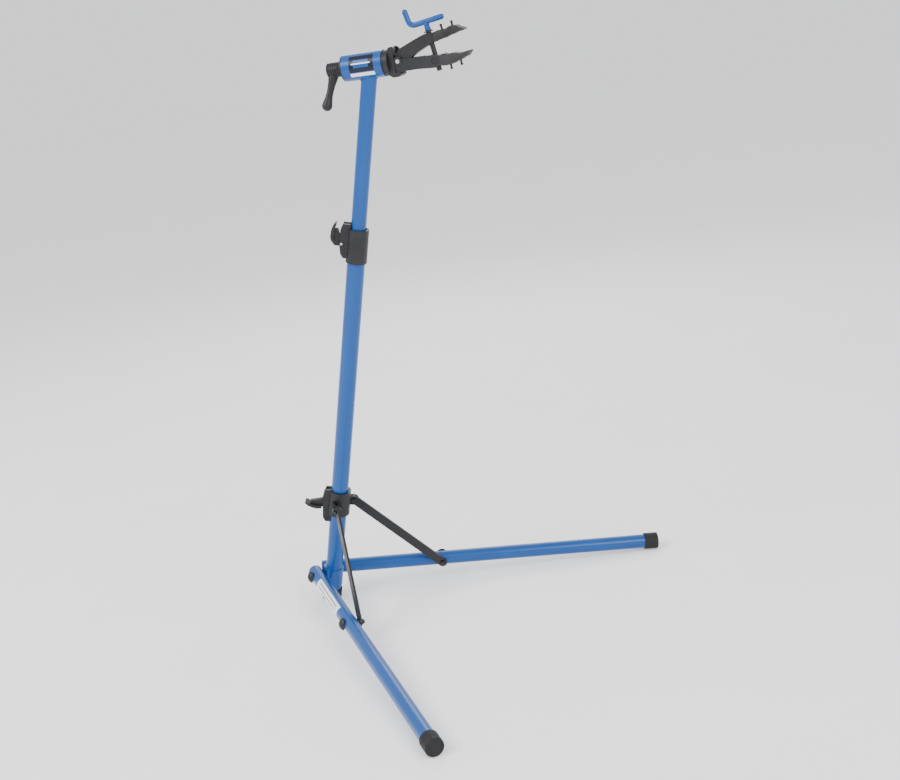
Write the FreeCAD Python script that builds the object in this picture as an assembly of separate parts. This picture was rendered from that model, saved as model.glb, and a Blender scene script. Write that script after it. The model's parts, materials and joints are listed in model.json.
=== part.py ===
import FreeCAD, Part
import os
from math import asin, atan2, cos, degrees, hypot, radians, sin

# Bike repair stand. Units are millimetres.
# +Z is up, the floor is Z = 0 and the origin is the centre of the mast foot on the floor.
# Most pieces are drawn upright on a mast that stands along Z, then leaned forward with it.

V = FreeCAD.Vector
ORIGIN = V(0, 0, 0)
Y_AXIS = V(0, 1, 0)
Z_AXIS = V(0, 0, 1)

# Running gaps between pieces that move against each other
GAP = 0.3
PIN_FIT = 0.05

# Mast
MAST_LEAN = 15.0
LOWER_TUBE_R = 19.05
LOWER_TUBE_BORE_R = 17.45
LOWER_TUBE_BOTTOM = 8.0
LOWER_TUBE_TOP = 877.0
UPPER_TUBE_R = 15.9
UPPER_TUBE_BORE_R = 14.4
UPPER_TUBE_BOTTOM = 475.0
FOOT_R = 21.8
FOOT_TOP = 26.0

# Legs: each lies in a plane parallel to the mast, LEG_OFFSET out from the mast axis
LEG_AZIMUTH = 36.5
LEG_OFFSET = 37.5
LEG_PIVOT_HEIGHT = 59.4
LEG_LENGTH = 772.7
LEG_TAIL = 27.0
LEG_R = 16.0
LEG_WALL = 1.5
LEG_FOOT_R = 18.7
LEG_FOOT_LENGTH = 32.0
LEG_FOOT_ROUND = 3.0
BRACKET_BOTTOM = 38.0
BRACKET_TOP = 82.0
BRACKET_OUT = 21.2
BOLT_R = 4.0
CAP_R = 14.0
CAP_HEIGHT = 9.0

# Brace arms between the legs and the sliding collar
ARM_ON_LEG = 256.5
ARM_IN = 12.9
ARM_OUT = 17.9
ARM_HALF_WIDTH = 10.0
ARM_ON_COLLAR_R = 34.0
ARM_ON_COLLAR_HEIGHT = 253.0

# Collars and their cam levers
UPPER_COLLAR_R = 22.6
LOWER_COLLAR_R = 25.5
COLLAR_SIDE = -147.0
LOWER_COLLAR_BOTTOM = 226.0
LOWER_COLLAR_TOP = 284.0
UPPER_COLLAR_BOTTOM = 823.0
UPPER_COLLAR_TOP = 895.0
LEVER_PIN_OUT = 33.0
LEVER_PIN_R = 2.5
LEVER_OPEN = 86.0
LOWER_PIN_HEIGHT = 259.0
UPPER_PIN_HEIGHT = 862.0
LOWER_EARS = (206.0, 286.0)
UPPER_EARS = (832.0, 905.0)

# Head: drawn about the head tube's axis along X, then turned and lifted onto the mast
HEAD_HEIGHT = 1185.3
HEAD_TURN = 15.0
HEAD_R = 26.0
HEAD_BORE_R = 22.5
HEAD_BACK = -52.5
HEAD_FRONT = 32.0
SHAFT_R = 12.7
LOCK_START = HEAD_BACK - 10.0 - 2 * GAP
JAW_PIVOT_X = 63.2
JAW_PIN_R = 4.0
BLOCK_X = 56.0
ARM_WALL_OUT = 13.0
NUT_R = 7.0
NUT_X = 138.5
NUT_Z = -8.5
SCREW_TILT = 8.5
SCREW_R = 5.0
SEAT_S = 54.5
HANDLE_S = 74.5
JAW_HALF_WIDTH = 9.0
COVER_HALF_WIDTH = 16.0


def cylinder(radius, start, end):
    """A solid round bar between two points."""
    return Part.makeCylinder(radius, (end - start).Length, start, end - start)


def sleeve(radius, bore, start, end):
    """A hollow round bar between two points."""
    return cylinder(radius, start, end).cut(cylinder(bore, start, end))


def upright(radius, bore, bottom, top):
    """A sleeve along the mast axis."""
    return sleeve(radius, bore, V(0, 0, bottom), V(0, 0, top))


def plate(outline, y_from, y_to):
    """A flat plate: an outline of (x, z) points given a thickness along Y."""
    points = [V(x, y_from, z) for x, z in outline]
    wire = Part.makePolygon(points + [points[0]])
    return Part.Face(wire).extrude(V(0, y_to - y_from, 0))


def box(x_from, x_to, y_from, y_to, z_from, z_to):
    """A block between two opposite corners."""
    return Part.makeBox(x_to - x_from, y_to - y_from, z_to - z_from, V(x_from, y_from, z_from))


def link(start, end, half_width, y_from, y_to):
    """A flat bar with round ends between two (x, z) points."""
    a = V(start[0], y_from, start[1])
    b = V(end[0], y_from, end[1])
    across = (b - a).cross(Y_AXIS).normalize() * half_width
    thick = V(0, y_to - y_from, 0)
    wire = Part.makePolygon([a + across, b + across, b - across, a - across, a + across])
    bar = Part.Face(wire).extrude(thick)
    bar = bar.fuse(cylinder(half_width, a, a + thick))
    return bar.fuse(cylinder(half_width, b, b + thick)).removeSplitter()


def dome(radius, height, base, direction):
    """A low round cap with a flat underside at base."""
    sphere_r = (radius * radius + height * height) / (2 * height)
    out = V(direction).normalize()
    ball = Part.makeSphere(sphere_r, base + out * (height - sphere_r))
    return ball.common(cylinder(radius + 1, base, base + out * (height + 1)))


def leaned(shape):
    """Lean a piece drawn on the upright mast forward with it."""
    moved = shape.copy()
    moved.rotate(ORIGIN, Y_AXIS, MAST_LEAN)
    return moved


def mirrored(shape):
    """The same piece on the other side of the stand."""
    return shape.mirror(ORIGIN, Y_AXIS)


def on_front_leg(shape):
    """Place a piece drawn in the leg frame: X away from the mast, -Y outward, Z up the mast."""
    moved = shape.copy()
    moved.rotate(ORIGIN, Z_AXIS, -LEG_AZIMUTH)
    return leaned(moved)


def on_head(shape):
    """Place a piece drawn about the head tube's axis."""
    moved = shape.copy()
    moved.rotate(ORIGIN, Y_AXIS, -MAST_LEAN)
    moved.rotate(ORIGIN, Z_AXIS, HEAD_TURN)
    moved.translate(V(0, 0, HEAD_HEIGHT / cos(radians(MAST_LEAN))))
    return leaned(moved)


def on_collar(shape, height):
    """Place a piece drawn beside the mast, X outward, with its pin at the given height."""
    moved = shape.copy()
    moved.translate(V(0, 0, height))
    moved.rotate(ORIGIN, Z_AXIS, COLLAR_SIDE)
    return leaned(moved)


# ---------------------------------------------------------------- legs

def leg_angle():
    """Angle in degrees between a leg and the mast that puts the rounded leg foot on the floor."""
    lean = radians(MAST_LEAN)
    out = radians(LEG_AZIMUTH)
    pivot_z = LEG_PIVOT_HEIGHT * cos(lean) + LEG_OFFSET * sin(out) * sin(lean)
    reach = LEG_LENGTH - LEG_FOOT_ROUND
    flat_r = LEG_FOOT_R - LEG_FOOT_ROUND
    slope = asin((pivot_z - LEG_FOOT_ROUND) / hypot(reach, flat_r)) - atan2(flat_r, reach)
    side = cos(out) * sin(lean)
    up = cos(lean)
    return degrees(atan2(up, side) + asin(sin(slope) / hypot(side, up)))


def leg_point(distance, offset=LEG_OFFSET):
    """A point along the leg, measured from its pivot, in the leg frame."""
    angle = radians(leg_angle())
    return V(distance * sin(angle), -offset, LEG_PIVOT_HEIGHT + distance * cos(angle))


def cross_hole(radius, distance):
    """A hole straight through the leg, square to its plane."""
    return cylinder(radius, leg_point(distance, LEG_OFFSET + 20), leg_point(distance, LEG_OFFSET - 20))


def leg_tube():
    """The round tube of one leg, with its pivot hole and its brace hole."""
    tube = sleeve(LEG_R, LEG_R - LEG_WALL, leg_point(-LEG_TAIL), leg_point(LEG_LENGTH - 4))
    return tube.cut(cross_hole(BOLT_R + PIN_FIT, 0)).cut(cross_hole(BOLT_R, ARM_ON_LEG))


def leg_foot():
    """The rubber cap over the far end of a leg."""
    start = leg_point(LEG_LENGTH - LEG_FOOT_LENGTH)
    end = leg_point(LEG_LENGTH)
    cap = cylinder(LEG_FOOT_R, start, end)
    far_edges = [edge for edge in cap.Edges if (edge.CenterOfMass - end).Length < 1]
    cap = cap.makeFillet(LEG_FOOT_ROUND, far_edges)
    return cap.cut(cylinder(LEG_R, start, leg_point(LEG_LENGTH - 4)))


def leg_plug():
    """The plastic plug in the near end of a leg."""
    inside = cylinder(LEG_R - LEG_WALL, leg_point(-LEG_TAIL), leg_point(-LEG_TAIL + 10))
    return inside.fuse(cylinder(LEG_R, leg_point(-LEG_TAIL - 1.2), leg_point(-LEG_TAIL))).removeSplitter()


def leg_label():
    """The plain pale label on the outer side of the front leg."""
    start = leg_point(48)
    end = leg_point(206)
    band = sleeve(LEG_R + 0.3, LEG_R, start, end)
    middle = leg_point(127, LEG_OFFSET + 20)
    return band.common(cylinder(90, middle, middle + V(0, 13.5, 0)))


def brace_bolt():
    """The bolt through a leg that carries the brace arm."""
    head = LEG_OFFSET + LEG_R
    return cylinder(BOLT_R, leg_point(ARM_ON_LEG, head), leg_point(ARM_ON_LEG, ARM_IN - 4))


def brace_cap():
    """The domed cap over the head of the brace bolt."""
    return dome(CAP_R, CAP_HEIGHT, leg_point(ARM_ON_LEG, LEG_OFFSET + LEG_R), V(0, -1, 0))


def brace_spacer():
    """The washer that keeps the arm off the leg."""
    start = leg_point(ARM_ON_LEG, LEG_OFFSET - LEG_R)
    return sleeve(8, BOLT_R, start, leg_point(ARM_ON_LEG, ARM_OUT + GAP))


def brace_nut():
    """The acorn nut on the inner end of the brace bolt."""
    face = leg_point(ARM_ON_LEG, ARM_IN - GAP)
    end = leg_point(ARM_ON_LEG, ARM_IN - 5)
    nut = cylinder(5.5, face, end).fuse(dome(5, 3.5, end, V(0, 1, 0)))
    return nut.cut(cylinder(BOLT_R, face, leg_point(ARM_ON_LEG, ARM_IN - 4))).removeSplitter()


# ---------------------------------------------------------------- mast base

def pivot_bolt():
    """The bolt that fixes a leg to the bracket, in the leg frame."""
    return cylinder(BOLT_R, leg_point(0, 13), leg_point(0, LEG_OFFSET + LEG_R + GAP))


def pivot_bolt_holes():
    """The holes that the two pivot bolts take through the bracket and the mast."""
    bolt = pivot_bolt()
    bolt.rotate(ORIGIN, Z_AXIS, -LEG_AZIMUTH)
    return bolt.fuse(mirrored(bolt))


def lower_tube():
    """The fixed lower tube of the mast, with two holes for the leg bolts."""
    tube = upright(LOWER_TUBE_R, LOWER_TUBE_BORE_R, LOWER_TUBE_BOTTOM, LOWER_TUBE_TOP)
    return tube.cut(pivot_bolt_holes())


def mast_foot():
    """The rubber foot on the mast, cut flat where it stands on the floor."""
    foot = leaned(cylinder(FOOT_R, V(0, 0, -20), V(0, 0, FOOT_TOP)))
    foot = foot.cut(leaned(cylinder(LOWER_TUBE_R, V(0, 0, LOWER_TUBE_BOTTOM), V(0, 0, FOOT_TOP + 1))))
    return foot.cut(box(-60, 60, -60, 60, -60, 0))


def leg_bracket():
    """The ring welded round the mast with a flat cheek for each leg."""
    ring = cylinder(BRACKET_OUT, V(0, 0, BRACKET_BOTTOM), V(0, 0, BRACKET_TOP))
    cheek = box(-15, 15, -BRACKET_OUT, 0, BRACKET_BOTTOM, BRACKET_TOP)
    cheek.rotate(ORIGIN, Z_AXIS, -LEG_AZIMUTH)
    whole = ring.fuse(cheek).fuse(mirrored(cheek))
    whole = whole.cut(cylinder(LOWER_TUBE_R, ORIGIN, V(0, 0, BRACKET_TOP + 1)))
    return whole.cut(pivot_bolt_holes()).removeSplitter()


def pivot_cap():
    """The domed cap over the head of the pivot bolt."""
    return dome(CAP_R, CAP_HEIGHT, leg_point(0, LEG_OFFSET + LEG_R + GAP), V(0, -1, 0))


def slide_bushing():
    """The plastic sleeve in the top of the lower tube that guides the upper tube."""
    sleeve_part = upright(LOWER_TUBE_BORE_R, UPPER_TUBE_R + GAP, LOWER_TUBE_TOP - 45, LOWER_TUBE_TOP)
    flange = upright(LOWER_TUBE_R, UPPER_TUBE_R + GAP, LOWER_TUBE_TOP, LOWER_TUBE_TOP + 4)
    return sleeve_part.fuse(flange).removeSplitter()


# ---------------------------------------------------------------- collars

def ears(low, high):
    """The two cheeks that carry a cam lever, drawn from the mast axis outward."""
    outline = [(15, low), (28, low), (34, low + 9), (36.8, -4), (36.8, high - 14), (31, high), (15, high)]
    return plate(outline, -11, -5.6).fuse(plate(outline, 5.6, 11))


def lever_pin():
    """The steel pin a cam lever turns on."""
    return cylinder(LEVER_PIN_R, V(LEVER_PIN_OUT, -12, 0), V(LEVER_PIN_OUT, 12, 0))


def cam_lever():
    """A cam lever in its closed place: a hub on the pin and a bowed grip along the mast."""
    hub = cylinder(5.6, V(LEVER_PIN_OUT, -5.2, 0), V(LEVER_PIN_OUT, 5.2, 0))
    neck_outline = [(33, -5.5), (47, -6), (53, 1), (52, 12), (49, 29), (42, 31), (36.5, 14), (33, 5.5)]
    neck = plate(neck_outline, -5.2, 5.2)
    grip_outline = [(48, 4), (54.5, 4), (57, 13), (56, 26), (52.5, 36), (47.5, 43), (44.5, 42), (47.5, 33),
                    (49.5, 24), (50, 13)]
    grip = plate(grip_outline, -11, 11)
    lever = hub.fuse(neck).fuse(grip)
    hole = cylinder(LEVER_PIN_R + PIN_FIT, V(LEVER_PIN_OUT, -20, 0), V(LEVER_PIN_OUT, 20, 0))
    return lever.cut(hole).removeSplitter()


def opened(shape):
    """Swing a cam lever out from its closed place to point away from the mast."""
    moved = shape.copy()
    moved.rotate(V(LEVER_PIN_OUT, 0, 0), Y_AXIS, LEVER_OPEN)
    return moved


def collar_body(radius, span, ear_span, bore, pin_height):
    """A split collar with the two cheeks of its lever, pin hole included. Spans are heights up the mast."""
    bottom, top = span
    cheeks = ears(ear_span[0] - pin_height, ear_span[1] - pin_height)
    cheeks.translate(V(0, 0, pin_height))
    body = cylinder(radius, V(0, 0, bottom), V(0, 0, top)).fuse(cheeks)
    body = body.cut(cylinder(bore, V(0, 0, ear_span[0] - 1), V(0, 0, top + 1)))
    body = body.cut(cylinder(bore, V(0, 0, bottom), V(0, 0, ear_span[1] + 1)))
    body = body.cut(box(15, 28, -1, 1, bottom - 1, top + 1))
    hole = cylinder(LEVER_PIN_R, V(LEVER_PIN_OUT, -20, pin_height), V(LEVER_PIN_OUT, 20, pin_height))
    return body.cut(hole).removeSplitter()


def upper_collar():
    """The collar fixed on top of the lower tube."""
    body = collar_body(UPPER_COLLAR_R, (UPPER_COLLAR_BOTTOM, UPPER_COLLAR_TOP), UPPER_EARS, LOWER_TUBE_R,
                       UPPER_PIN_HEIGHT)
    lip = upright(UPPER_COLLAR_R - 0.5, UPPER_TUBE_R + 2 * GAP, LOWER_TUBE_TOP + 4, UPPER_COLLAR_TOP - 2)
    lip = lip.cut(box(15, 28, -1, 1, LOWER_TUBE_TOP, UPPER_COLLAR_TOP))
    body = body.fuse(lip).removeSplitter()
    body.rotate(ORIGIN, Z_AXIS, COLLAR_SIDE)
    return leaned(body)


def brace_lugs():
    """Two lugs on the lower collar, one each side of the front brace arm, in the leg frame."""
    height = ARM_ON_COLLAR_HEIGHT
    outer = link((12, height), (ARM_ON_COLLAR_R, height), 11, -BRACKET_OUT, -(ARM_OUT + GAP))
    inner = link((12, height), (ARM_ON_COLLAR_R, height), 11, -(ARM_IN - GAP), -(ARM_IN - 4))
    return outer.fuse(inner)


def lower_collar():
    """The collar that slides on the lower tube and carries the brace arms."""
    bore = LOWER_TUBE_R + GAP
    body = collar_body(LOWER_COLLAR_R, (LOWER_COLLAR_BOTTOM, LOWER_COLLAR_TOP), LOWER_EARS, bore,
                       LOWER_PIN_HEIGHT)
    body.rotate(ORIGIN, Z_AXIS, COLLAR_SIDE)
    lugs = brace_lugs()
    lugs.rotate(ORIGIN, Z_AXIS, -LEG_AZIMUTH)
    body = body.fuse(lugs).fuse(mirrored(lugs))
    room = cylinder(bore, V(0, 0, 200), V(0, 0, 300))
    return leaned(body.cut(room).removeSplitter())


def lug_bolts():
    """The bolt head and nut on the outer faces of one pair of lugs, in the leg frame."""
    x, z = ARM_ON_COLLAR_R, ARM_ON_COLLAR_HEIGHT
    head = cylinder(6.5, V(x, -BRACKET_OUT - 3.5, z), V(x, -BRACKET_OUT, z))
    nut = cylinder(6, V(x, -(ARM_IN - 4), z), V(x, -(ARM_IN - 8), z))
    return Part.makeCompound([head, nut])


def brace_arm():
    """The flat bar from a leg to the lower collar."""
    low = leg_point(ARM_ON_LEG)
    top = (ARM_ON_COLLAR_R, ARM_ON_COLLAR_HEIGHT)
    bar = link((low.x, low.z), top, ARM_HALF_WIDTH, -ARM_OUT, -ARM_IN)
    bar = bar.cut(cylinder(BOLT_R + PIN_FIT, V(low.x, -30, low.z), V(low.x, 0, low.z)))
    return bar.cut(cylinder(BOLT_R, V(top[0], -30, top[1]), V(top[0], 0, top[1])))


# ---------------------------------------------------------------- upper tube and head

def upper_tube():
    """The sliding upper tube, its top end cut to fit round the head tube."""
    top = HEAD_HEIGHT / cos(radians(MAST_LEAN))
    tube = leaned(upright(UPPER_TUBE_R, UPPER_TUBE_BORE_R, UPPER_TUBE_BOTTOM, top))
    return tube.cut(on_head(cylinder(HEAD_R, V(-90, 0, 0), V(90, 0, 0))))


def guide_plug():
    """The plastic plug on the bottom of the upper tube that runs inside the lower tube."""
    inside = cylinder(UPPER_TUBE_BORE_R, V(0, 0, UPPER_TUBE_BOTTOM), V(0, 0, UPPER_TUBE_BOTTOM + 25))
    shoe = cylinder(LOWER_TUBE_BORE_R - GAP, V(0, 0, UPPER_TUBE_BOTTOM - 14), V(0, 0, UPPER_TUBE_BOTTOM))
    return inside.fuse(shoe).removeSplitter()


def head_tube():
    """The short level tube welded across the top of the mast."""
    return sleeve(HEAD_R, HEAD_BORE_R, V(HEAD_BACK, 0, 0), V(HEAD_FRONT, 0, 0))


def head_patch(x_from, x_to, z_from, z_to):
    """A thin label on the near side of the head tube."""
    skin = sleeve(HEAD_R + 0.3, HEAD_R, V(x_from, 0, 0), V(x_to, 0, 0))
    return skin.common(box(x_from, x_to, -40, 0, z_from, z_to))


def head_bushing(end, out):
    """The flanged sleeve in one end of the head tube that the clamp shaft turns in."""
    inner = sleeve(HEAD_BORE_R, SHAFT_R + PIN_FIT, V(end, 0, 0), V(end - 22 * out, 0, 0))
    flange = sleeve(HEAD_R - 1, SHAFT_R + PIN_FIT, V(end, 0, 0), V(end + 3 * out, 0, 0))
    return inner.fuse(flange).removeSplitter()


# ---------------------------------------------------------------- lock lever

def lock_washer():
    """The tapered washer between the head tube and the lock lever."""
    wide = HEAD_BACK - 3 - GAP
    cone = Part.makeCone(20, 15.5, 7, V(wide, 0, 0), V(-1, 0, 0))
    return cone.cut(cylinder(SHAFT_R + 0.2, V(wide + 1, 0, 0), V(wide - 20, 0, 0)))


def lock_lever():
    """The ribbed hub and the tapered handle that lock the head's turn."""
    hub = cylinder(15, V(LOCK_START, 0, 0), V(LOCK_START - 28, 0, 0))
    root = V(LOCK_START - 13, 0, 0)
    tip = root + V(-24, -14, -66)
    away = tip - root
    handle = Part.makeCone(10.5, 7, away.Length, root, away)
    lever = hub.fuse(handle).fuse(Part.makeSphere(10.5, tip))
    room = cylinder(SHAFT_R + 0.2, V(LOCK_START + 1, 0, 0), V(LOCK_START - 20, 0, 0))
    return lever.cut(room).removeSplitter()


# ---------------------------------------------------------------- clamp

def clamp_shaft():
    """The steel shaft that the clamp turns on, through the head tube."""
    return cylinder(SHAFT_R, V(LOCK_START - 19, 0, 0), V(HEAD_FRONT + 12, 0, 0))


def clamp_body():
    """The cast knuckle that joins the shaft to the jaws."""
    face = HEAD_FRONT + 3 + GAP
    collar = cylinder(24.5, V(face, 0, 0), V(face + 9, 0, 0))
    outline = [(face + 5, -23), (50, -29), (62, -29), (68, -25), (66, -20.5), (BLOCK_X, -20.5), (BLOCK_X, 24),
               (50, 26), (face + 5, 19)]
    body = collar.fuse(plate(outline, -15, 15)).fuse(cylinder(8, V(53, -15, 21), V(53, 15, 21)))
    body = body.cut(hub_room())
    body = body.cut(box(BLOCK_X, 90, -JAW_HALF_WIDTH - GAP, JAW_HALF_WIDTH + GAP, -13, 60))
    body = body.cut(cylinder(SHAFT_R, V(0, 0, 0), V(HEAD_FRONT + 12, 0, 0)))
    return body.removeSplitter()


def hub_room():
    """The round space the upper jaw's hub turns in."""
    half = JAW_HALF_WIDTH + GAP
    return cylinder(12, V(JAW_PIVOT_X, -half, 0), V(JAW_PIVOT_X, half, 0))


def pivot_hole(radius):
    """The hole for the jaw pivot pin."""
    return cylinder(radius, V(JAW_PIVOT_X, -30, 0), V(JAW_PIVOT_X, 30, 0))


def jaw_pin():
    """The steel pin that the upper jaw turns on."""
    return cylinder(JAW_PIN_R, V(JAW_PIVOT_X, -ARM_WALL_OUT - 2, 0), V(JAW_PIVOT_X, ARM_WALL_OUT + 2, 0))


def screw_point(distance):
    """A point along the jaw screw, measured up from the barrel nut."""
    tilt = radians(SCREW_TILT)
    return V(NUT_X - distance * sin(tilt), 0, NUT_Z + distance * cos(tilt))


def screw_slot(half_length, half_width, s_from, s_to):
    """A slot that lets the screw lean fore and aft inside a jaw."""
    tilt = radians(SCREW_TILT)
    along = V(cos(tilt), 0, sin(tilt)) * (half_length - half_width)
    base = screw_point(s_from)
    top = screw_point(s_to)
    side = V(0, half_width, 0)
    wire = Part.makePolygon([base + along + side, base - along + side, base - along - side,
                             base + along - side, base + along + side])
    slot = Part.Face(wire).extrude(top - base)
    return slot.fuse(cylinder(half_width, base + along, top + along)).fuse(
        cylinder(half_width, base - along, top - along))


def lower_jaw_arm():
    """The fixed lower arm: two side walls beside the upper arm, a floor, and a solid tip."""
    outline = [(BLOCK_X, -20.5), (100, -19.5), (138, -21.5), (150, -16), (192, -9), (206, -5), (206, -2.5),
               (160, -4), (150, 1), (138, 3), (60, 3), (BLOCK_X, 6)]
    arm = plate(outline, -ARM_WALL_OUT, ARM_WALL_OUT)
    pocket = [(BLOCK_X, -14), (92, -14), (112, -3), (118, 3.5), (118, 12), (BLOCK_X, 12)]
    arm = arm.cut(plate(pocket, -JAW_HALF_WIDTH - GAP, JAW_HALF_WIDTH + GAP)).cut(hub_room())
    boss = cylinder(9, V(JAW_PIVOT_X, -ARM_WALL_OUT - 1, 0), V(JAW_PIVOT_X, -JAW_HALF_WIDTH - GAP, 0))
    arm = arm.fuse(boss).fuse(mirrored(boss)).cut(box(40, BLOCK_X, -20, 20, -30, 30))
    bore = cylinder(NUT_R + PIN_FIT, V(NUT_X, -20, NUT_Z), V(NUT_X, 20, NUT_Z))
    return arm.cut(bore).cut(pivot_hole(JAW_PIN_R)).cut(screw_slot(8, 5.9, -40, 40)).removeSplitter()


def lower_jaw_cover():
    """The soft cover on the lower jaw."""
    outline = [(149, -20), (152, 3.8), (158, 4.4), (165, 1.6), (175, 2.6), (187, 0.8), (199, 2.6), (210, 3.4),
               (210, -1), (203, -8.5), (188, -13.5), (172, -18.8)]
    cover = plate(outline, -COVER_HALF_WIDTH, COVER_HALF_WIDTH)
    return cover.cut(lower_jaw_arm())


def upper_jaw_arm():
    """The hinged upper arm of the clamp."""
    outline = [(66, -9), (72, -6), (106, 12), (137, 25), (150, 30), (174, 36), (194, 39.5), (196, 42),
               (176, 44.5), (150, 43), (128, 43.8), (118, 41.5), (94.6, 33), (66, 22), (58, 10), (58, -6)]
    arm = plate(outline, -JAW_HALF_WIDTH, JAW_HALF_WIDTH)
    arm = arm.fuse(cylinder(11, V(JAW_PIVOT_X, -JAW_HALF_WIDTH, 0), V(JAW_PIVOT_X, JAW_HALF_WIDTH, 0)))
    arm = arm.cut(box(40, 56.8, -20, 20, -20, 40))
    return arm.cut(pivot_hole(JAW_PIN_R + PIN_FIT)).cut(screw_slot(10, 5.9, 20, 80)).removeSplitter()


def upper_jaw_cover():
    """The soft cover on the upper jaw."""
    outline = [(143, 24), (150, 26.5), (162, 28.5), (176, 33), (194, 37), (204, 40), (204, 42.5), (196, 46.5),
               (187, 51), (177, 51), (164, 47), (147, 46)]
    cover = plate(outline, -COVER_HALF_WIDTH, COVER_HALF_WIDTH)
    return cover.cut(upper_jaw_arm())


def barrel_nut():
    """The cross nut in the lower arm that the screw threads through."""
    nut = cylinder(NUT_R, V(NUT_X, -ARM_WALL_OUT + 1, NUT_Z), V(NUT_X, ARM_WALL_OUT - 1, NUT_Z))
    return nut.cut(cylinder(SCREW_R + PIN_FIT, screw_point(-20), screw_point(20)))


def screw_seat():
    """The thrust washer between the screw's shoulder and the upper jaw."""
    return sleeve(9, SCREW_R + PIN_FIT, screw_point(SEAT_S), screw_point(SEAT_S + 2.5))


def jaw_screw():
    """The long screw that closes the jaws."""
    return cylinder(SCREW_R, screw_point(-20), screw_point(SEAT_S + 6))


def jaw_handle():
    """The bent T handle on top of the jaw screw."""
    tilt = radians(SCREW_TILT)
    along = V(cos(tilt), 0, sin(tilt))
    centre = screw_point(HANDLE_S)
    right = centre + along * 33
    bend = centre - along * 33
    raised = bend + V(-6.5, 0, 27.5)
    post = cylinder(6.2, screw_point(SEAT_S + 2.8), centre)
    handle = post.fuse(cylinder(5.5, bend, right)).fuse(cylinder(5.5, bend, raised))
    for end in (bend, right, raised):
        handle = handle.fuse(Part.makeSphere(5.5, end))
    return handle.cut(cylinder(SCREW_R, screw_point(0), screw_point(SEAT_S + 6))).removeSplitter()


# ---------------------------------------------------------------- export

def leg_side_pieces():
    """Pieces that come once for each side, drawn in the leg frame."""
    return {
        "leg": leg_tube(),
        "leg_foot": leg_foot(),
        "leg_plug": leg_plug(),
        "brace_bolt": brace_bolt(),
        "brace_cap": brace_cap(),
        "brace_spacer": brace_spacer(),
        "brace_nut": brace_nut(),
        "brace_arm": brace_arm(),
        "pivot_bolt": pivot_bolt(),
        "pivot_cap": pivot_cap(),
        "lug_bolts": lug_bolts(),
    }


def mast_pieces():
    """Pieces drawn on the upright mast."""
    return {
        "lower_tube": lower_tube(),
        "leg_bracket": leg_bracket(),
        "slide_bushing": slide_bushing(),
        "guide_plug": guide_plug(),
    }


def head_pieces():
    """Pieces drawn about the head tube's axis."""
    return {
        "head_tube": head_tube(),
        "head_label": head_patch(-35, 16, -9, 21),
        "head_strip": head_patch(-35, 16, -17.5, -11),
        "front_bushing": head_bushing(HEAD_FRONT, 1),
        "rear_bushing": head_bushing(HEAD_BACK, -1),
        "lock_washer": lock_washer(),
        "lock_lever": lock_lever(),
        "clamp_shaft": clamp_shaft(),
        "clamp_body": clamp_body(),
        "jaw_pin": jaw_pin(),
        "lower_jaw_arm": lower_jaw_arm(),
        "lower_jaw_cover": lower_jaw_cover(),
        "upper_jaw_arm": upper_jaw_arm(),
        "upper_jaw_cover": upper_jaw_cover(),
        "barrel_nut": barrel_nut(),
        "screw_seat": screw_seat(),
        "jaw_screw": jaw_screw(),
        "jaw_handle": jaw_handle(),
    }


def collar_pieces():
    """Both collars with their cam levers and lever pins."""
    return {
        "upper_collar": upper_collar(),
        "lower_collar": lower_collar(),
        "upper_lever_pin": on_collar(lever_pin(), UPPER_PIN_HEIGHT),
        "upper_cam_lever": on_collar(cam_lever(), UPPER_PIN_HEIGHT),
        "lower_lever_pin": on_collar(lever_pin(), LOWER_PIN_HEIGHT),
        "lower_cam_lever": on_collar(opened(cam_lever()), LOWER_PIN_HEIGHT),
    }


def all_pieces():
    """Every node by name, in its place on the stand."""
    pieces = {"mast_foot": mast_foot(), "upper_tube": upper_tube()}
    pieces.update(collar_pieces())
    for name, shape in mast_pieces().items():
        pieces[name] = leaned(shape)
    for name, shape in head_pieces().items():
        pieces[name] = on_head(shape)
    for name, shape in leg_side_pieces().items():
        front = on_front_leg(shape)
        pieces["front_" + name] = front
        pieces["rear_" + name] = mirrored(front)
    pieces["front_leg_label"] = on_front_leg(leg_label())
    return pieces


os.makedirs("parts", exist_ok=True)
for node, solid in all_pieces().items():
    solid.exportStep("parts/" + node + ".step")
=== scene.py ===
import json
from math import cos, pi, radians, sin

import bmesh
import bpy
from mathutils import Matrix, Vector


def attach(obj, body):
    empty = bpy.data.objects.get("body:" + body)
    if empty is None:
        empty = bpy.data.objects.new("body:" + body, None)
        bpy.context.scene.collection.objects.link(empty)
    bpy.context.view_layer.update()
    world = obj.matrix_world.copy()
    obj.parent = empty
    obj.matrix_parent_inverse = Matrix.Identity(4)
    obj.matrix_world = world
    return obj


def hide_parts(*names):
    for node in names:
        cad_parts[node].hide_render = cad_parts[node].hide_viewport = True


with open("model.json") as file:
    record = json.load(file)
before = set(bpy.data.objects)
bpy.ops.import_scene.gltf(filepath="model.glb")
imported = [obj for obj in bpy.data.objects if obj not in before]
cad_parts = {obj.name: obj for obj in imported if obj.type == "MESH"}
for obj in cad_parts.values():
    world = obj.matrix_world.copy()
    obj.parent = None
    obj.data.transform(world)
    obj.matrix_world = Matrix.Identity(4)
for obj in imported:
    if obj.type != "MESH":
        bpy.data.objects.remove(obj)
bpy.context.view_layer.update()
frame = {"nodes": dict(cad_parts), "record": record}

RECORD = frame["record"]
NODES = frame["nodes"]

# Sizes are in metres and angles in degrees.
# Mast and head
MAST_LEAN = 15.0
HEAD_TURN = 15.0
HEAD_UP_MAST = 1.1853 / cos(radians(MAST_LEAN))
HEAD_R = 0.026
UPPER_TUBE_R = 0.0159
WELD_R = 0.0019
WELD_STEPS = 240
WELD_RIPPLES = 44
WELD_RIPPLE_DEPTH = 0.14

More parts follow.
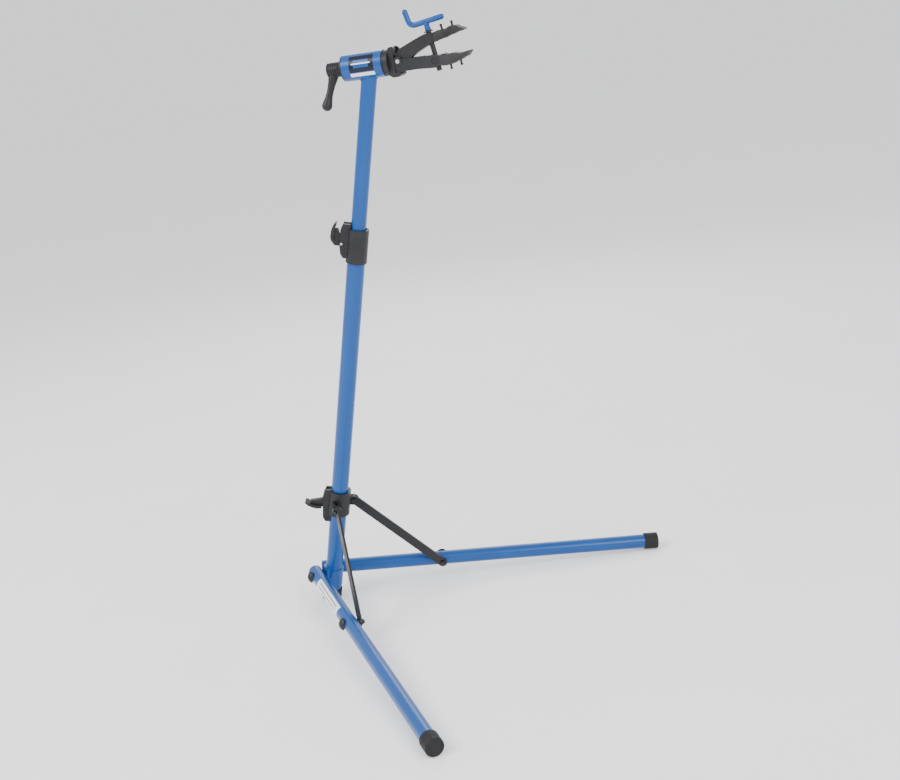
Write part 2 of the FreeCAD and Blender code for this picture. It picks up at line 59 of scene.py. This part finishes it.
# Labels
FILM_THICK = 0.0001
LABEL_R = 0.0264
LABEL_LINE_RAISE = 0.0002
LEG_LABEL_R = 0.0164
LEG_LINE_FROM = 0.062
LEG_LINE_TO = 0.192
LEG_LINE_HALF_ANGLE = 3.0

# Legs
LEG_AZIMUTH = 36.5
LEG_OFFSET = 0.0375
LEG_PIVOT_UP = 0.0594
LEG_ANGLE = 81.1972

# Jaw screw and its handle. Places named S are distances along the screw from the barrel nut.
NUT_X = 0.1385
NUT_Z = -0.0085
SCREW_TILT = 8.5
POST_S = 0.0573
HANDLE_S = 0.0745
HANDLE_R = 0.0055
HANDLE_ARM = 0.033
HANDLE_BEND = 0.012
HANDLE_RAISED_END = Vector((-0.0065, 0.0, 0.0274))

# Lock lever
LOCK_START = Vector((-0.0631, 0.0, 0.0))
LOCK_ROOT = LOCK_START + Vector((-0.013, 0.0, 0.0))
LOCK_TIP = LOCK_ROOT + Vector((-0.024, -0.014, -0.066))
LOCK_RIBS = 4
LOCK_RIB_START = 0.0026
LOCK_RIB_PITCH = 0.005
LOCK_RIB_R = 0.0149
LOCK_GROOVE_R = 0.0138
LOCK_BALL_R = 0.0105
LOCK_BALL_END = 0.01045
LOCK_BORE_R = 0.0129
LOCK_BORE_DEPTH = 0.0200
LOCK_ROOT_R = 0.0133
LOCK_NECK_R = 0.0097
LOCK_NECK_AT = 0.25

# Jaw covers
COVER_HALF_WIDTH = 0.016
COVER_RIB = 0.0009
COVER_RIB_PITCH = 0.0053
COVER_HOLLOW = 0.0016
COVER_END_NARROW = 0.86
COVER_END_STEP = 0.07

# Surfaces and edges
SMOOTH_BELOW = 35.0
WEAR_REACH = 0.0007
SOFT_EDGE = 0.0009
SOFT_EDGE_ANGLE = 32.0

# Steel
STEEL_DARK = (0.5, 0.5, 0.51)
STEEL_LIGHT = (0.66, 0.66, 0.67)
STEEL_ROUGH_LOW = 0.2
STEEL_ROUGH_HIGH = 0.36

# Stage. A light has its name, place, size and power.
WORLD_COLOUR = (0.96, 0.97, 1.0, 1.0)
WORLD_STRENGTH = 1.25
FLOOR_GLOW = 0.16
FLOOR_SIZE = 60.0
LIGHTS_AIM_AT = Vector((0.3, 0.0, 0.6))
LIGHTS = [
    ("key_light", (-1.6, -3.2, 3.4), 2.6, 190.0),
    ("fill_light", (3.6, -1.4, 2.4), 2.4, 90.0),
    ("back_light", (-1.5, 3.2, 3.0), 2.6, 60.0),
]

# Paints: colours (dark, light, worn), roughness from and to, clear coat
PAINTS = {
    "blue_paint": (((0.0, 0.052, 0.225), (0.0, 0.064, 0.262), (0.01, 0.13, 0.38)), 0.27, 0.32, 0.15),
    "black_paint": (((0.007, 0.007, 0.008), (0.013, 0.013, 0.014), (0.06, 0.06, 0.062)), 0.34, 0.5, 0.1),
    "cast_black": (((0.008, 0.008, 0.009), (0.017, 0.017, 0.018), (0.07, 0.07, 0.072)), 0.36, 0.55, 0.08),
}

# Mouldings: colours (dark, light, worn), roughness from and to, how fine the grain is
MOULDINGS = {
    "label_white": (((0.76, 0.78, 0.8), (0.84, 0.85, 0.86), (0.7, 0.7, 0.7)), 0.3, 0.42, 300.0),
    "label_dark": (((0.003, 0.005, 0.012), (0.006, 0.009, 0.02), (0.03, 0.03, 0.035)), 0.2, 0.3, 300.0),
    "black_plastic": (((0.008, 0.008, 0.009), (0.016, 0.016, 0.017), (0.05, 0.05, 0.052)), 0.36, 0.52, 700.0),
    "rubber": (((0.006, 0.006, 0.007), (0.012, 0.012, 0.013), (0.05, 0.05, 0.052)), 0.55, 0.75, 420.0),
    "jaw_rubber": (((0.014, 0.013, 0.014), (0.03, 0.028, 0.029), (0.07, 0.066, 0.068)), 0.5, 0.7, 380.0),
    "nylon": (((0.5, 0.5, 0.47), (0.62, 0.62, 0.58), (0.66, 0.66, 0.62)), 0.4, 0.5, 500.0),
}

# CAD nodes whose sharp edges are rounded
SOFT_NODES = ("lower_collar", "upper_collar", "lower_cam_lever", "upper_cam_lever", "leg_bracket",
              "clamp_body", "lower_jaw_arm", "upper_jaw_arm", "front_brace_arm", "rear_brace_arm",
              "lock_washer", "mast_foot")

# Camera
CAMERA_AT = Vector((1.77915, -1.97514, 1.15509))
CAMERA_LOOK = Vector((-0.55122, 0.79476, -0.25399))
CAMERA_RIGHT = Vector((0.83339, 0.53914, -0.12166))
CAMERA_LENS = 48.223
CAMERA_SENSOR = 36.0


# ------------------------------------------------------------------ frames

LEAN = Matrix.Rotation(radians(MAST_LEAN), 4, "Y")
HEAD_PLACE = (LEAN @ Matrix.Translation((0.0, 0.0, HEAD_UP_MAST))
              @ Matrix.Rotation(radians(HEAD_TURN), 4, "Z") @ Matrix.Rotation(-radians(MAST_LEAN), 4, "Y"))
LEG_PLACE = LEAN @ Matrix.Rotation(-radians(LEG_AZIMUTH), 4, "Z")


def new_object(name, mesh, place, body, slot, replaced=()):
    """Place a mesh drawn in a local frame on the stand, with the material of its slot, on a body."""
    mesh.transform(place)
    piece = bpy.data.objects.new(name, mesh)
    bpy.context.scene.collection.objects.link(piece)
    mesh.materials.append(MATERIALS[slot])
    if replaced:
        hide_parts(*replaced)
    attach(piece, body)


def mesh_from(name, builder):
    """Run a bmesh builder and return its mesh, smooth shaded where faces meet at a shallow angle."""
    shape = bmesh.new()
    builder(shape)
    bmesh.ops.recalc_face_normals(shape, faces=shape.faces)
    for face in shape.faces:
        face.smooth = True
    for edge in shape.edges:
        edge.smooth = len(edge.link_faces) == 2 and edge.calc_face_angle() < radians(SMOOTH_BELOW)
    mesh = bpy.data.meshes.new(name)
    shape.to_mesh(mesh)
    shape.free()
    return mesh


def loft(shape, rings, closed_ends=True):
    """Join rings of points, each a list of the same length, into a skin."""
    rows = [[shape.verts.new(point) for point in ring] for ring in rings]
    count = len(rows[0])
    for low, high in zip(rows, rows[1:]):
        for index in range(count):
            following = (index + 1) % count
            shape.faces.new((low[index], low[following], high[following], high[index]))
    if closed_ends:
        shape.faces.new(rows[0])
        shape.faces.new(list(reversed(rows[-1])))


def ring_round(centre, side, other, radius, steps):
    """Points of a circle about a centre, in the plane of two unit vectors."""
    ring = []
    for step in range(steps):
        angle = 2.0 * pi * step / steps
        ring.append(centre + (side * cos(angle) + other * sin(angle)) * radius)
    return ring


def turned(profile, axis_from, axis_to, steps=48):
    """Rings of a shape turned about an axis. profile is (distance along the axis, radius)."""
    along = (axis_to - axis_from).normalized()
    side = along.orthogonal().normalized()
    other = along.cross(side)
    rings = []
    for distance, radius in profile:
        rings.append(ring_round(axis_from + along * distance, side, other, radius, steps))
    return rings


# ------------------------------------------------------------------ materials

def new_material(name):
    """An empty node material with its shader."""
    material = bpy.data.materials.new(name)
    material.use_nodes = True
    shader = material.node_tree.nodes["Principled BSDF"]
    return material, shader


def add(material, kind, **values):
    """A shader node with some of its properties set."""
    node = material.node_tree.nodes.new(kind)
    for key, value in values.items():
        setattr(node, key, value)
    return node


def join(material, output, target):
    """Connect one socket to another."""
    material.node_tree.links.new(output, target)


def noise(material, scale, detail=4.0, roughness=0.55):
    """Noise in object coordinates, so that it stays put on the piece."""
    where = add(material, "ShaderNodeTexCoord")
    texture = add(material, "ShaderNodeTexNoise")
    texture.inputs["Scale"].default_value = scale
    texture.inputs["Detail"].default_value = detail
    texture.inputs["Roughness"].default_value = roughness
    join(material, where.outputs["Object"], texture.inputs["Vector"])
    return texture.outputs["Fac"]


def ramp(material, factor, stops):
    """A colour ramp over a factor. stops are (position, colour)."""
    node = add(material, "ShaderNodeValToRGB")
    elements = node.color_ramp.elements
    while len(elements) < len(stops):
        elements.new(0.5)
    for element, (position, colour) in zip(elements, stops):
        element.position = position
        element.color = (*colour, 1.0)
    join(material, factor, node.inputs["Fac"])
    return node.outputs["Color"]


def spread(material, factor, low, high):
    """Map a factor between 0.3 and 0.7 onto a range."""
    node = add(material, "ShaderNodeMapRange")
    node.inputs["From Min"].default_value = 0.3
    node.inputs["From Max"].default_value = 0.7
    node.inputs["To Min"].default_value = low
    node.inputs["To Max"].default_value = high
    join(material, factor, node.inputs["Value"])
    return node.outputs["Result"]


def bump(material, shader, height, strength, distance):
    """Raise the surface by a height texture."""
    node = add(material, "ShaderNodeBump")
    node.inputs["Strength"].default_value = strength
    node.inputs["Distance"].default_value = distance
    join(material, height, node.inputs["Height"])
    join(material, node.outputs["Normal"], shader.inputs["Normal"])


def wear_mask(material, scale):
    """Bright where an edge turns within WEAR_REACH, broken up by noise."""
    rounded = add(material, "ShaderNodeBevel", samples=6)
    rounded.inputs["Radius"].default_value = WEAR_REACH
    geometry = add(material, "ShaderNodeNewGeometry")
    agree = add(material, "ShaderNodeVectorMath", operation="DOT_PRODUCT")
    join(material, rounded.outputs["Normal"], agree.inputs[0])
    join(material, geometry.outputs["Normal"], agree.inputs[1])
    edge = add(material, "ShaderNodeMapRange")
    edge.inputs["From Min"].default_value = 0.93
    edge.inputs["From Max"].default_value = 0.70
    join(material, agree.outputs["Value"], edge.inputs["Value"])
    product = add(material, "ShaderNodeMath", operation="MULTIPLY")
    join(material, edge.outputs["Result"], product.inputs[0])
    join(material, spread(material, noise(material, scale), 0.0, 0.7), product.inputs[1])
    return product.outputs["Value"]


def mixed(material, factor, first, second):
    """Blend a colour socket towards a fixed colour."""
    node = add(material, "ShaderNodeMix", data_type="RGBA")
    join(material, factor, node.inputs[0])
    join(material, first, node.inputs[6])
    node.inputs[7].default_value = (*second, 1.0)
    return node.outputs[2]


def painted(name, colours, rough_low, rough_high, coat):
    """Sprayed or powder-coated metal, slightly cloudy, with worn edges. colours: dark, light, worn."""
    dark, light, worn = colours
    material, shader = new_material(name)
    colour = ramp(material, noise(material, 9.0), [(0.3, dark), (0.7, light)])
    join(material, mixed(material, wear_mask(material, 60.0), colour, worn), shader.inputs["Base Color"])
    rough = spread(material, noise(material, 45.0), rough_low, rough_high)
    join(material, rough, shader.inputs["Roughness"])
    shader.inputs["Coat Weight"].default_value = coat
    shader.inputs["Coat Roughness"].default_value = 0.16
    shader.inputs["Specular IOR Level"].default_value = 0.32
    bump(material, shader, noise(material, 700.0, 2.0), 0.06, 0.0003)
    return material


def moulded(name, colours, rough_low, rough_high, grain):
    """Moulded plastic or rubber with a fine grain. colours: dark, light, worn."""
    dark, light, worn = colours
    material, shader = new_material(name)
    colour = ramp(material, noise(material, 22.0), [(0.3, dark), (0.72, light)])
    join(material, mixed(material, wear_mask(material, 90.0), colour, worn), shader.inputs["Base Color"])
    rough = spread(material, noise(material, 70.0), rough_low, rough_high)
    join(material, rough, shader.inputs["Roughness"])
    shader.inputs["Specular IOR Level"].default_value = 0.3
    bump(material, shader, noise(material, grain, 3.0), 0.16, 0.0004)
    return material


def metal(name, dark, light, rough_low, rough_high):
    """Bare plated steel, slightly cloudy, with a very fine grain."""
    material, shader = new_material(name)
    colour = ramp(material, noise(material, 40.0), [(0.3, dark), (0.7, light)])
    join(material, colour, shader.inputs["Base Color"])
    shader.inputs["Metallic"].default_value = 1.0
    rough = spread(material, noise(material, 130.0), rough_low, rough_high)
    join(material, rough, shader.inputs["Roughness"])
    bump(material, shader, noise(material, 1500.0, 2.0), 0.1, 0.0002)
    return material


def make_materials():
    """One material for each slot of the record."""
    made = {}
    for name, (colours, rough_low, rough_high, coat) in PAINTS.items():
        made[name] = painted(name, colours, rough_low, rough_high, coat)
    for name, (colours, rough_low, rough_high, grain) in MOULDINGS.items():
        made[name] = moulded(name, colours, rough_low, rough_high, grain)
    made["steel"] = metal("steel", STEEL_DARK, STEEL_LIGHT, STEEL_ROUGH_LOW, STEEL_ROUGH_HIGH)
    return made


def paint_nodes(materials):
    """Give every CAD node the material of its slot."""
    for part in RECORD["subparts"]:
        node = NODES[part["node"]]
        node.data.materials.clear()
        node.data.materials.append(materials[part["material_slot"]])


def soften(names):
    """Round the sharp edges of some CAD nodes."""
    for name in names:
        bevel = NODES[name].modifiers.new("soft_edges", "BEVEL")
        bevel.width = SOFT_EDGE
        bevel.segments = 2
        bevel.limit_method = "ANGLE"
        bevel.angle_limit = radians(SOFT_EDGE_ANGLE)


# ------------------------------------------------------------------ jaw covers

def smooth_between(stops, x):
    """A soft curve through (x, value) stops."""
    for (start, first), (end, second) in zip(stops, stops[1:]):
        if x <= end:
            share = max(0.0, min(1.0, (x - start) / (end - start)))
            share = share * share * (3.0 - 2.0 * share)
            return first + (second - first) * share
    return stops[-1][1]


def rounded_section(x, low, high, half_width, power=4.0, steps=40):
    """A rounded rectangle across the jaw at x."""
    middle = 0.5 * (low + high)
    half = 0.5 * (high - low)
    ring = []
    for step in range(steps):
        angle = 2.0 * pi * step / steps
        across = cos(angle)
        upward = sin(angle)
        y = half_width * abs(across) ** (2.0 / power) * (1.0 if across >= 0 else -1.0)
        z = middle + half * abs(upward) ** (2.0 / power) * (1.0 if upward >= 0 else -1.0)
        ring.append(Vector((x, y, z)))
    return ring


def cover_rings(back, grip, grip_way, count=56):
    """Sections of a jaw cover, ribbed and hollowed where it grips. grip_way: 1 on top, -1 below."""
    x_from = back[0][0]
    x_to = back[-1][0]
    rings = []
    for index in range(count + 1):
        x = x_from + (x_to - x_from) * index / count
        ends = min(index, count - index) / 2.0
        width = COVER_HALF_WIDTH * min(1.0, COVER_END_NARROW + COVER_END_STEP * ends)
        rib = COVER_RIB * 0.5 * (1.0 - cos(2.0 * pi * (x - x_from) / COVER_RIB_PITCH))
        outer = smooth_between(back, x)
        inner = smooth_between(grip, x)
        middle = 0.5 * (outer + inner)
        half = 0.5 * abs(inner - outer)
        ring = rounded_section(x, middle - half, middle + half, width)
        for point in ring:
            if (point.z - middle) * grip_way > 0.5 * half:
                hollow = COVER_HOLLOW * (1.0 - (point.y / COVER_HALF_WIDTH) ** 2)
                point.z -= (rib + hollow) * grip_way
        rings.append(ring)
    return rings


def peg(shape, foot, lean, height):
    """A tapered tab that holds the cover on its jaw."""
    tip = foot + lean.normalized() * height
    profile = [(0.0, 0.0026), (height * 0.35, 0.0021), (height * 0.6, 0.0022), (height * 0.78, 0.0029),
               (height * 0.93, 0.0024), (height, 0.001)]
    loft(shape, turned(profile, foot, tip, 16))


def make_lower_cover():
    """The soft cover of the fixed jaw."""
    back = [(0.1495, -0.0200), (0.158, -0.0206), (0.172, -0.0188), (0.188, -0.0136), (0.203, -0.0084),
            (0.2098, -0.0018)]
    grip = [(0.1495, 0.0030), (0.156, 0.0046), (0.165, 0.0022), (0.175, 0.0036), (0.188, 0.0014),
            (0.2098, 0.0036)]

    def build(shape):
        loft(shape, cover_rings(back, grip, 1.0))
        peg(shape, Vector((0.1655, 0.0, -0.0190)), Vector((0.08, 0.0, -1.0)), 0.0100)
        peg(shape, Vector((0.1865, 0.0, -0.0130)), Vector((0.12, 0.0, -1.0)), 0.0110)

    mesh = mesh_from("lower_cover_detail", build)
    new_object("lower_cover_detail", mesh, HEAD_PLACE, "clamp", "jaw_rubber", ["lower_jaw_cover"])


def make_upper_cover():
    """The soft cover of the swinging jaw."""
    back = [(0.143, 0.0446), (0.151, 0.0466), (0.165, 0.0474), (0.178, 0.0516), (0.188, 0.0514),
            (0.197, 0.0470), (0.2048, 0.0428)]
    grip = [(0.143, 0.0240), (0.151, 0.0268), (0.162, 0.0286), (0.176, 0.0326), (0.194, 0.0370),
            (0.2048, 0.0396)]

    def build(shape):
        loft(shape, cover_rings(back, grip, -1.0))
        peg(shape, Vector((0.1586, 0.0, 0.0458)), Vector((-0.22, 0.0, 1.0)), 0.0115)
        peg(shape, Vector((0.1796, 0.0, 0.0496)), Vector((-0.1, 0.0, 1.0)), 0.0110)

    mesh = mesh_from("upper_cover_detail", build)
    new_object("upper_cover_detail", mesh, HEAD_PLACE, "upper_jaw", "jaw_rubber", ["upper_jaw_cover"])


# ------------------------------------------------------------------ swept and wrapped shapes

def sweep(shape, points, radii, steps=24, closed=False):
    """A round bar along points with a radius at each, its rings kept from twisting."""
    count = len(points)
    rings = []
    side = None
    for index, point in enumerate(points):
        before = points[index - 1] if closed or index > 0 else point
        after = points[(index + 1) % count] if closed or index < count - 1 else point
        along = (after - before).normalized()
        side = along.orthogonal() if side is None else side - along * side.dot(along)
        side.normalize()
        other = along.cross(side)
        rings.append(ring_round(point, side, other, radii[index], steps))
    if closed:
        loft(shape, rings + [rings[0]], closed_ends=False)
        bmesh.ops.remove_doubles(shape, verts=shape.verts, dist=1e-6)
    else:
        loft(shape, rings)


def round_ended(points, radius, steps=6):
    """Points and radii of a bar whose two ends are rounded."""
    first = (points[0] - points[1]).normalized()
    last = (points[-1] - points[-2]).normalized()
    caps = [(radius * sin(0.5 * pi * step / steps), radius * cos(0.5 * pi * step / steps))
            for step in range(1, steps)]
    caps.append((radius * 0.999, radius * 0.06))
    head = [(points[0] + first * out, wide) for out, wide in reversed(caps)]
    body = [(point, radius) for point in points]
    tail = [(points[-1] + last * out, wide) for out, wide in caps]
    whole = head + body + tail
    return [point for point, _ in whole], [wide for _, wide in whole]


def rounded_corner(before, corner, after, reach, steps=10):
    """Points round a corner, starting and ending reach away from it."""
    start = corner + (before - corner).normalized() * reach
    end = corner + (after - corner).normalized() * reach
    points = []
    for step in range(steps + 1):
        share = step / steps
        points.append(start * (1 - share) ** 2 + corner * (2 * share * (1 - share)) + end * share ** 2)
    return points


def wrap_patch(shape, start, end, facing, radius, angle_from, angle_to, steps=24):
    """A thin film wrapped round part of a tube, between two angles from the facing direction."""
    along = (end - start).normalized()
    out = (facing - along * facing.dot(along)).normalized()
    across = along.cross(out)
    rings = []
    for point in (start, end):
        outer = []
        inner = []
        for step in range(steps + 1):
            angle = radians(angle_from + (angle_to - angle_from) * step / steps)
            spoke = out * cos(angle) + across * sin(angle)
            outer.append(point + spoke * (radius + FILM_THICK))
            inner.append(point + spoke * (radius - FILM_THICK))
        rings.append(outer + list(reversed(inner)))
    loft(shape, rings)


# ------------------------------------------------------------------ handle, lock lever, weld and labels

def screw_point(distance):
    """A point on the jaw screw's axis, measured up from the barrel nut, in the head frame."""
    tilt = radians(SCREW_TILT)
    return Vector((NUT_X - distance * sin(tilt), 0.0, NUT_Z + distance * cos(tilt)))


def make_handle():
    """The bent T handle: a bar with one end turned up, on a post."""
    tilt = radians(SCREW_TILT)
    along = Vector((cos(tilt), 0.0, sin(tilt)))
    centre = screw_point(HANDLE_S)
    right = centre + along * HANDLE_ARM
    corner = centre - along * HANDLE_ARM
    raised = corner + HANDLE_RAISED_END

    def build(shape):
        bar = [right, centre] + rounded_corner(centre, corner, raised, HANDLE_BEND) + [raised]
        sweep(shape, *round_ended(bar, HANDLE_R))
        foot = screw_point(POST_S)
        top = screw_point(HANDLE_S - 0.001)
        length = (top - foot).length
        profile = [(0.0, 0.0052), (0.0006, 0.0062), (0.004, 0.0062), (0.0046, 0.0055),
                   (length - 0.0042, 0.0055), (length - 0.002, 0.0064), (length, 0.0068)]
        loft(shape, turned(profile, foot, top, 32))

    mesh = mesh_from("handle_detail", build)
    new_object("handle_detail", mesh, HEAD_PLACE, "screw", "blue_paint", ["jaw_handle"])


def sunk_into_hub(ring, along):
    """Slide the points of a ring back along the handle until they lie just inside the hub's wall."""
    sunk = []
    for point in ring:
        moved = point.copy()
        for _ in range(6):
            outward = (moved.y ** 2 + moved.z ** 2) ** 0.5
            moved -= along * (outward - LOCK_ROOT_R)
        sunk.append(moved)
    return sunk


def make_lock_lever():
    """The lock lever: a grooved hub bored for the shaft and a waisted handle with a ball end."""
    away = (LOCK_TIP - LOCK_ROOT).normalized()
    reach = (LOCK_TIP - LOCK_ROOT).length
    neck = reach * LOCK_NECK_AT

    def build(shape):
        hub = [(LOCK_BORE_DEPTH, LOCK_BORE_R), (0.0, LOCK_BORE_R), (0.0, 0.0132), (0.0006, 0.0142)]
        for rib in range(LOCK_RIBS):
            at = LOCK_RIB_START + rib * LOCK_RIB_PITCH
            hub += [(at, LOCK_RIB_R), (at + 0.0018, LOCK_RIB_R)]
            hub += [(at + 0.0024, LOCK_GROOVE_R), (at + 0.0040, LOCK_GROOVE_R)]
        hub += [(0.0246, LOCK_RIB_R), (0.0262, 0.0144), (0.0274, 0.0124), (0.0278, 0.0104)]
        loft(shape, turned(hub, LOCK_START, LOCK_START + Vector((-1.0, 0.0, 0.0)), 72))

        foot_profile = [(neck, radius) for radius in (0.0003, 0.0035, 0.0068, LOCK_NECK_R)]
        foot = turned(foot_profile, LOCK_ROOT, LOCK_TIP, 40)
        handle = [(neck, LOCK_NECK_R), (reach * 0.34, 0.0084), (reach * 0.46, 0.0074),
                  (reach * 0.6, 0.0069), (reach * 0.72, 0.0071), (reach * 0.8, 0.0078),
                  (reach * 0.87, 0.0089)]
        for step in range(5, 13):
            angle = pi * step / 13
            handle.append((reach - LOCK_BALL_R * cos(angle), LOCK_BALL_R * sin(angle)))
        handle.append((reach + LOCK_BALL_END, 0.001))
        sunk = [sunk_into_hub(ring, away) for ring in foot]
        loft(shape, sunk + turned(handle, LOCK_ROOT, LOCK_TIP, 40))

    mesh = mesh_from("lock_lever_detail", build)
    new_object("lock_lever_detail", mesh, HEAD_PLACE, "lock", "black_plastic", ["lock_lever"])


def make_head_weld():
    """The weld bead where the upper tube meets the head tube."""
    lean = radians(MAST_LEAN)
    points = []
    radii = []
    for step in range(WELD_STEPS):
        angle = 2.0 * pi * step / WELD_STEPS
        y = UPPER_TUBE_R * sin(angle)
        run = (UPPER_TUBE_R * cos(angle) * sin(lean) - (HEAD_R ** 2 - y ** 2) ** 0.5) / cos(lean)
        along = Vector((sin(lean), 0.0, cos(lean))) * run
        out = Vector((cos(lean), 0.0, -sin(lean))) * (UPPER_TUBE_R * cos(angle))
        points.append(along + out + Vector((0.0, y, 0.0)))
        radii.append(WELD_R * (1.0 + WELD_RIPPLE_DEPTH * sin(WELD_RIPPLES * angle)))

    def build(shape):
        sweep(shape, points, radii, 12, closed=True)

    new_object("head_weld", mesh_from("head_weld", build), HEAD_PLACE, "upper_mast", "blue_paint")


def make_head_graphics():
    """Plain shapes on the dark label: a blue block with a thin pale line across it."""
    facing = Vector((0.0, -1.0, 0.0))

    def block(shape):
        start = Vector((-0.026, 0.0, 0.0))
        end = Vector((0.006, 0.0, 0.0))
        wrap_patch(shape, start, end, facing, LABEL_R, -32.0, 2.0)

    def line(shape):
        start = Vector((-0.030, 0.0, 0.0))
        end = Vector((0.010, 0.0, 0.0))
        wrap_patch(shape, start, end, facing, LABEL_R + LABEL_LINE_RAISE, -18.0, -13.0)

    new_object("label_block", mesh_from("label_block", block), HEAD_PLACE, "upper_mast", "blue_paint")
    new_object("label_line", mesh_from("label_line", line), HEAD_PLACE, "upper_mast", "label_white")


def leg_point(distance):
    """A point along the front leg's axis from its pivot, in the leg frame."""
    angle = radians(LEG_ANGLE)
    return Vector((distance * sin(angle), -LEG_OFFSET, LEG_PIVOT_UP + distance * cos(angle)))


def make_leg_graphics():
    """Two plain dark lines on the front leg's pale label."""
    down = Vector((cos(radians(LEG_ANGLE)), 0.0, -sin(radians(LEG_ANGLE))))

    for name, turn in (("leg_line_high", -42.0), ("leg_line_low", -12.0)):
        facing = Vector((0.0, -cos(radians(turn)), 0.0)) + down * sin(radians(turn))

        def line(shape):
            wrap_patch(shape, leg_point(LEG_LINE_FROM), leg_point(LEG_LINE_TO), facing, LEG_LABEL_R,
                       -LEG_LINE_HALF_ANGLE, LEG_LINE_HALF_ANGLE)

        new_object(name, mesh_from(name, line), LEG_PLACE, "front_leg_body", "label_dark")


# ------------------------------------------------------------------ stage

def place_camera():
    """The camera at the viewing angle of the reference."""
    camera = bpy.data.objects.new("camera", bpy.data.cameras.new("camera"))
    bpy.context.scene.collection.objects.link(camera)
    look = CAMERA_LOOK.normalized()
    right = (CAMERA_RIGHT - look * CAMERA_RIGHT.dot(look)).normalized()
    up = right.cross(look)
    turn = Matrix((right, up, -look)).transposed().to_4x4()
    camera.matrix_world = Matrix.Translation(CAMERA_AT) @ turn
    camera.data.lens = CAMERA_LENS
    camera.data.sensor_width = CAMERA_SENSOR
    camera.data.clip_end = 50.0
    bpy.context.scene.camera = camera


def place_light(name, at, size, power):
    """A soft round light aimed at the stand."""
    data = bpy.data.lights.new(name, "AREA")
    data.shape = "DISK"
    data.size = size
    data.energy = power
    light = bpy.data.objects.new(name, data)
    bpy.context.scene.collection.objects.link(light)
    light.location = at
    light.rotation_euler = (LIGHTS_AIM_AT - Vector(at)).to_track_quat("-Z", "Y").to_euler()
    return light


def make_stage():
    """A plain pale floor, soft lights and a pale surrounding."""
    bpy.ops.mesh.primitive_plane_add(size=FLOOR_SIZE, location=(0.0, 0.0, 0.0))
    floor = bpy.context.object
    floor.name = "floor"
    material, shader = new_material("floor_paper")
    paper = ramp(material, noise(material, 3.0), [(0.3, (0.86, 0.86, 0.86)), (0.7, (0.89, 0.89, 0.89))])
    join(material, paper, shader.inputs["Base Color"])
    shader.inputs["Roughness"].default_value = 0.9
    shader.inputs["Emission Color"].default_value = (1.0, 1.0, 1.0, 1.0)
    shader.inputs["Emission Strength"].default_value = FLOOR_GLOW
    floor.data.materials.append(material)
    lights = [place_light(*light) for light in LIGHTS]
    world = bpy.data.worlds.new("studio")
    bpy.context.scene.world = world
    world.use_nodes = True
    world.node_tree.nodes["Background"].inputs["Color"].default_value = WORLD_COLOUR
    world.node_tree.nodes["Background"].inputs["Strength"].default_value = WORLD_STRENGTH


place_camera()
make_stage()
MATERIALS = make_materials()
paint_nodes(MATERIALS)
soften(SOFT_NODES)
make_lower_cover()
make_upper_cover()
make_handle()
make_lock_lever()
make_head_weld()
make_head_graphics()
make_leg_graphics()
